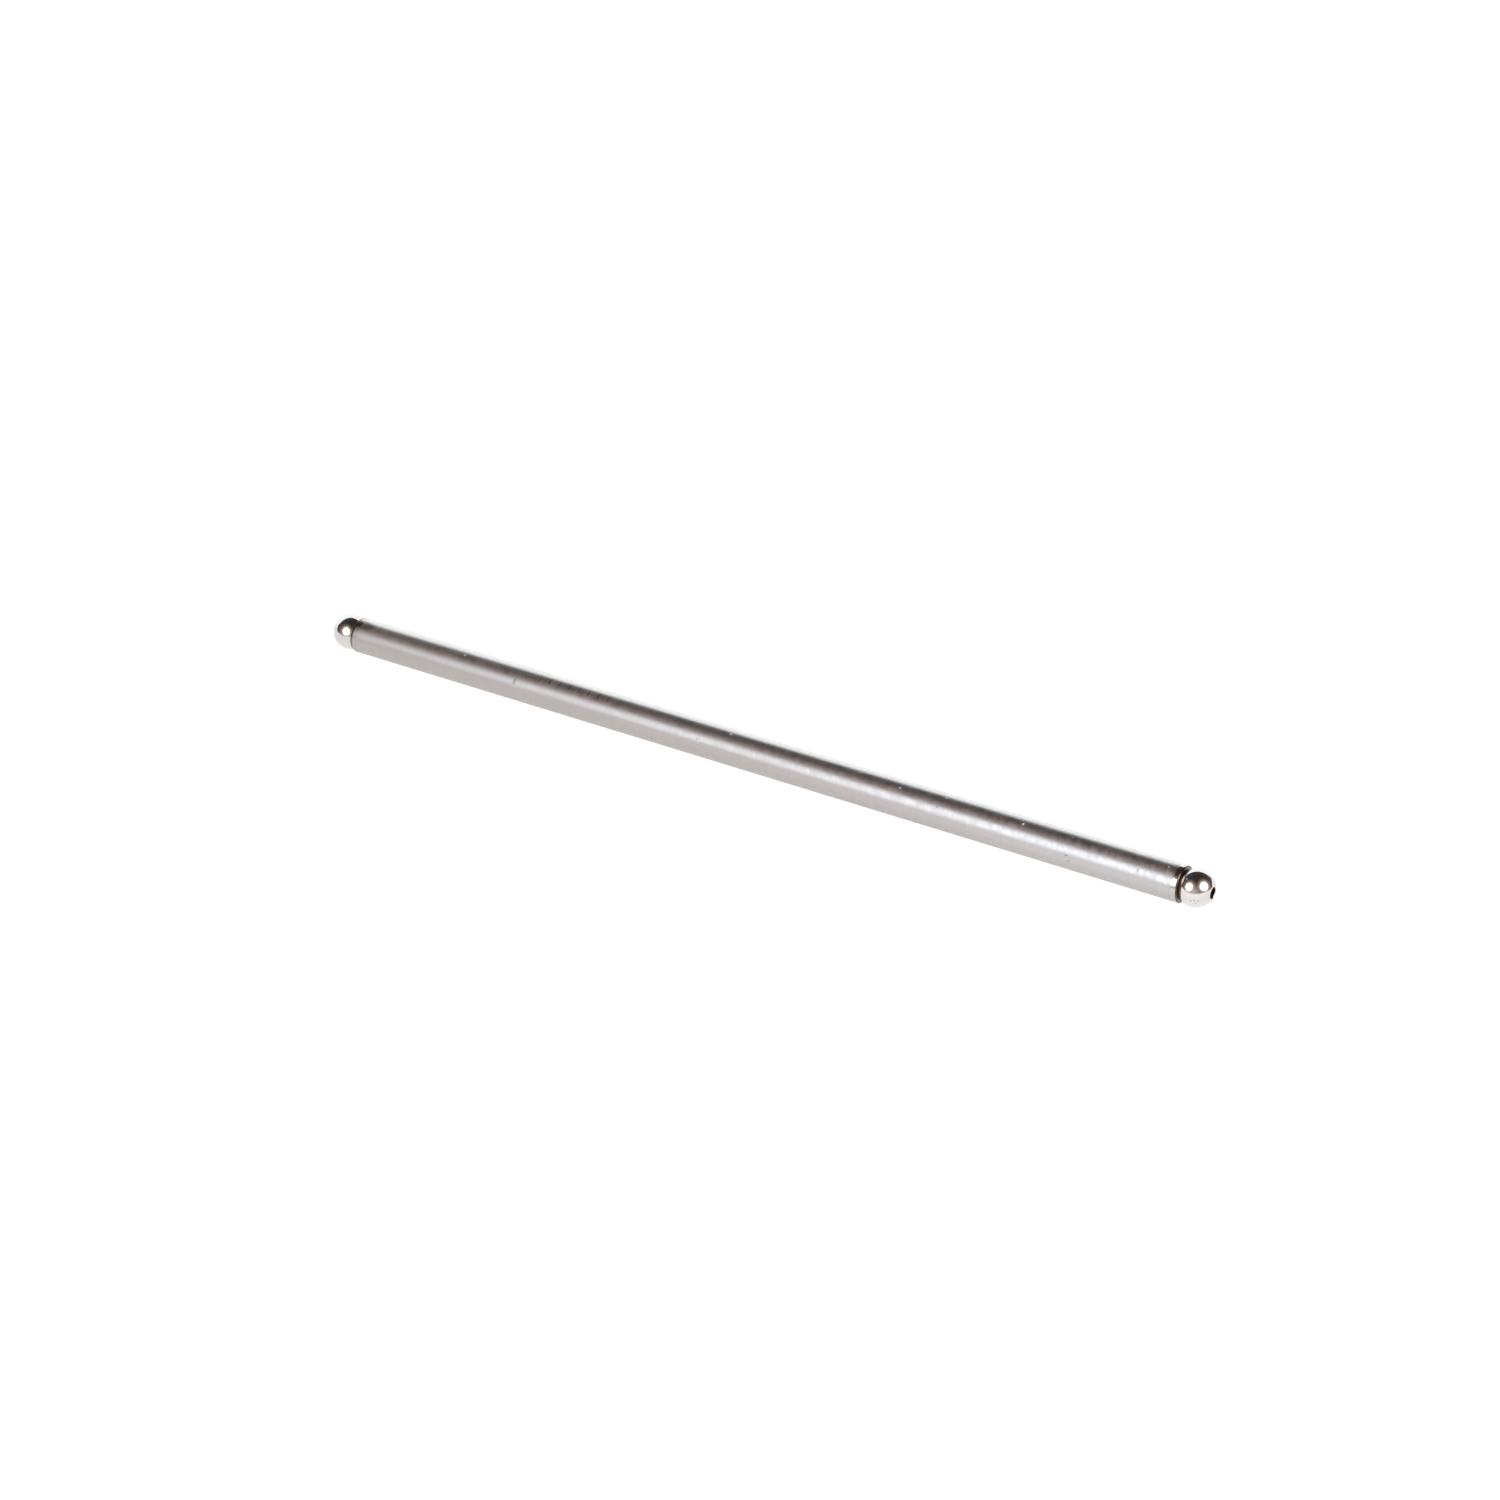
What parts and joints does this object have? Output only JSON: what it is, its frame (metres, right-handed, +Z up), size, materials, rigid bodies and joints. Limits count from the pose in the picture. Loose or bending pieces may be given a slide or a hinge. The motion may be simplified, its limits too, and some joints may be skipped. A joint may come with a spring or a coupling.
{
  "type": "engine pushrod",
  "caption": "Straight hollow steel pushrod: satin ground tube with a polished, oil-drilled ball end welded into each end, to carry valve lift and oil from lifter to rocker.",
  "frame": {"origin": "on the rod's axis at the middle of its length", "axes": "+X along the rod towards the rocker end, +Z up as the rod lies"},
  "size_m": [0.2236, 0.008, 0.008],
  "materials": {
    "tube_steel": "centreless ground, satin, fine marks round the tube",
    "ball_steel": "hardened and polished to a mirror"
  },
  "bodies": {
    "root": {"tube": "tube_steel", "rocker_ball_end": "ball_steel", "lifter_ball_end": "ball_steel"}
  },
  "joints": []
}
